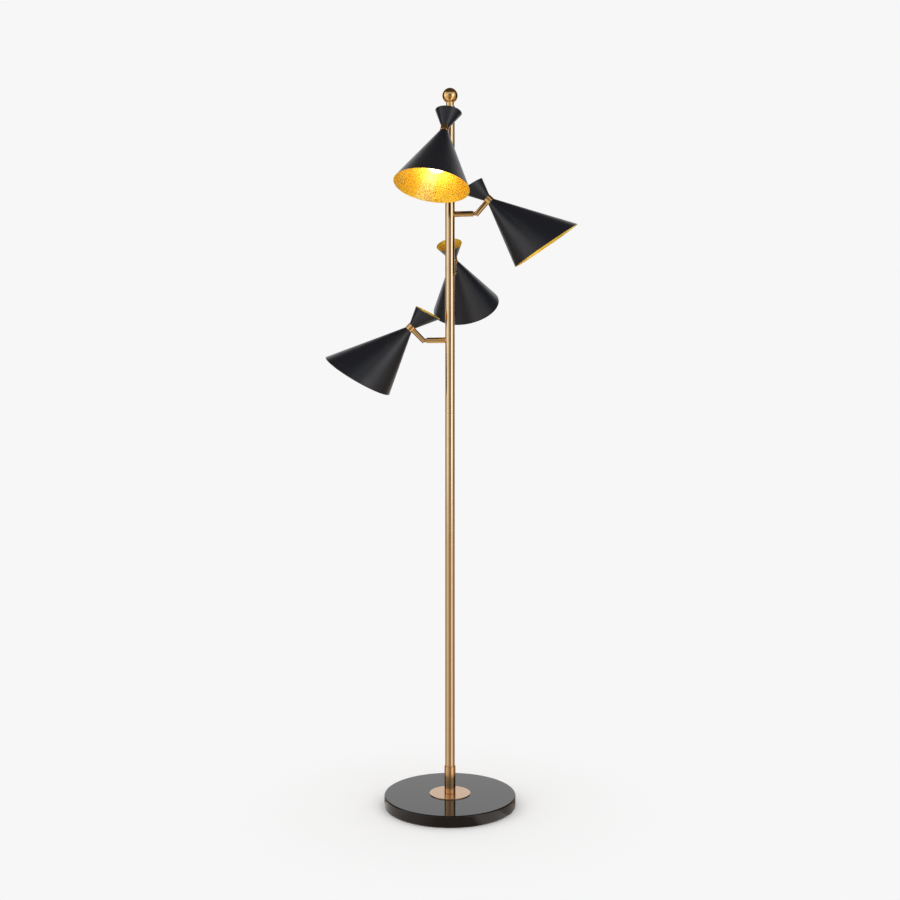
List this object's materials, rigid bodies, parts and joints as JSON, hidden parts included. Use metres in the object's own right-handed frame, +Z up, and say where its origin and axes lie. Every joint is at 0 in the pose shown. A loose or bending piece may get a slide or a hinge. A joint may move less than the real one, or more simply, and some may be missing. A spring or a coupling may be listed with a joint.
{
  "type": "tree floor lamp",
  "caption": "Free-standing tree floor lamp: round stone base, brass pole in two lengths, and double-cone shades on short arms that turn and tilt.",
  "frame": {"origin": "centre of the felt pad's underside, on the pole's axis, where the lamp stands on the floor", "axes": "+Z up along the pole; -Y towards the front, where the highest arm points; +X to the right seen from the front"},
  "size_m": [0.5825, 0.5621, 1.6431],
  "materials": {
    "felt": "matte",
    "black_stone": "polished",
    "black_rubber": "matte",
    "zinc_steel": "satin",
    "brushed_brass": "satin",
    "lead_insulation": "satin",
    "shade_enamel": "satin",
    "holder_plastic": "matte",
    "bulb_cap": "satin",
    "bulb_glass": "gloss"
  },
  "bodies": {
    "stand": {"arm_nipples": "zinc_steel", "arm_tube_1": "brushed_brass", "arm_tube_2": "brushed_brass", "arm_tube_3": "brushed_brass", "arm_tube_4": "brushed_brass", "base_nut": "zinc_steel", "base_pad": "felt", "base_plate": "brushed_brass", "base_rod": "zinc_steel", "base_slab": "black_stone", "base_washer": "zinc_steel", "cord_grommet": "black_rubber", "finial_ball": "brushed_brass", "finial_neck": "brushed_brass", "pole_collar": "brushed_brass", "pole_coupler": "zinc_steel", "pole_lower": "brushed_brass", "pole_upper": "brushed_brass", "pole_wiring": "lead_insulation", "saddle_nuts": "zinc_steel"},
    "swivel_1": {"knuckle_root_1": "brushed_brass"},
    "head_1": {"knuckle_screw_1": "brushed_brass", "head_stem_1": "brushed_brass", "neck_ring_1": "brushed_brass", "neck_nipple_1": "zinc_steel", "shade_big_1": "shade_enamel", "shade_small_1": "shade_enamel", "lampholder_1": "holder_plastic", "bulb_cap_1": "bulb_cap", "bulb_glass_1": "bulb_glass"},
    "swivel_2": {"knuckle_root_2": "brushed_brass"},
    "head_2": {"knuckle_screw_2": "brushed_brass", "head_stem_2": "brushed_brass", "neck_ring_2": "brushed_brass", "neck_nipple_2": "zinc_steel", "shade_big_2": "shade_enamel", "shade_small_2": "shade_enamel", "lampholder_2": "holder_plastic", "bulb_cap_2": "bulb_cap", "bulb_glass_2": "bulb_glass"},
    "swivel_3": {"knuckle_root_3": "brushed_brass"},
    "head_3": {"knuckle_screw_3": "brushed_brass", "head_stem_3": "brushed_brass", "neck_ring_3": "brushed_brass", "neck_nipple_3": "zinc_steel", "shade_big_3": "shade_enamel", "shade_small_3": "shade_enamel", "lampholder_3": "holder_plastic", "bulb_cap_3": "bulb_cap", "bulb_glass_3": "bulb_glass"},
    "swivel_4": {"knuckle_root_4": "brushed_brass"},
    "head_4": {"knuckle_screw_4": "brushed_brass", "head_stem_4": "brushed_brass", "neck_ring_4": "brushed_brass", "neck_nipple_4": "zinc_steel", "shade_big_4": "shade_enamel", "shade_small_4": "shade_enamel", "lampholder_4": "holder_plastic", "bulb_cap_4": "bulb_cap", "bulb_glass_4": "bulb_glass"}
  },
  "joints": [
    {"name": "arm_roll_1", "type": "hinge", "parent": "stand", "child": "swivel_1", "pos_m": [0, -0.0522, 1.5055], "axis": [0, -1, 0], "range_deg": [-83.9, 96.1]},
    {"name": "head_tilt_1", "type": "hinge", "parent": "swivel_1", "child": "head_1", "pos_m": [0, -0.0622, 1.5055], "axis": [0.9943, 0, -0.1063], "range_deg": [-31, 29]},
    {"name": "arm_roll_2", "type": "hinge", "parent": "stand", "child": "swivel_2", "pos_m": [0.0522, 0, 1.3535], "axis": [1, 0, 0], "range_deg": [-98, 82]},
    {"name": "head_tilt_2", "type": "hinge", "parent": "swivel_2", "child": "head_2", "pos_m": [0.0622, 0, 1.3535], "axis": [0, 0.9903, 0.1392], "range_deg": [-11.5, 48.5]},
    {"name": "arm_roll_3", "type": "hinge", "parent": "stand", "child": "swivel_3", "pos_m": [0, 0.0522, 1.2287], "axis": [0, 1, 0], "range_deg": [-82.5, 97.5]},
    {"name": "head_tilt_3", "type": "hinge", "parent": "swivel_3", "child": "head_3", "pos_m": [0, 0.0622, 1.2287], "axis": [-0.9914, 0, -0.1305], "range_deg": [-7.5, 52.5]},
    {"name": "arm_roll_4", "type": "hinge", "parent": "stand", "child": "swivel_4", "pos_m": [-0.0522, 0, 1.0647], "axis": [-1, 0, 0], "range_deg": [-85, 95]},
    {"name": "head_tilt_4", "type": "hinge", "parent": "swivel_4", "child": "head_4", "pos_m": [-0.0622, 0, 1.0647], "axis": [0, -0.9962, -0.0872], "range_deg": [-13.2, 46.8]}
  ]
}
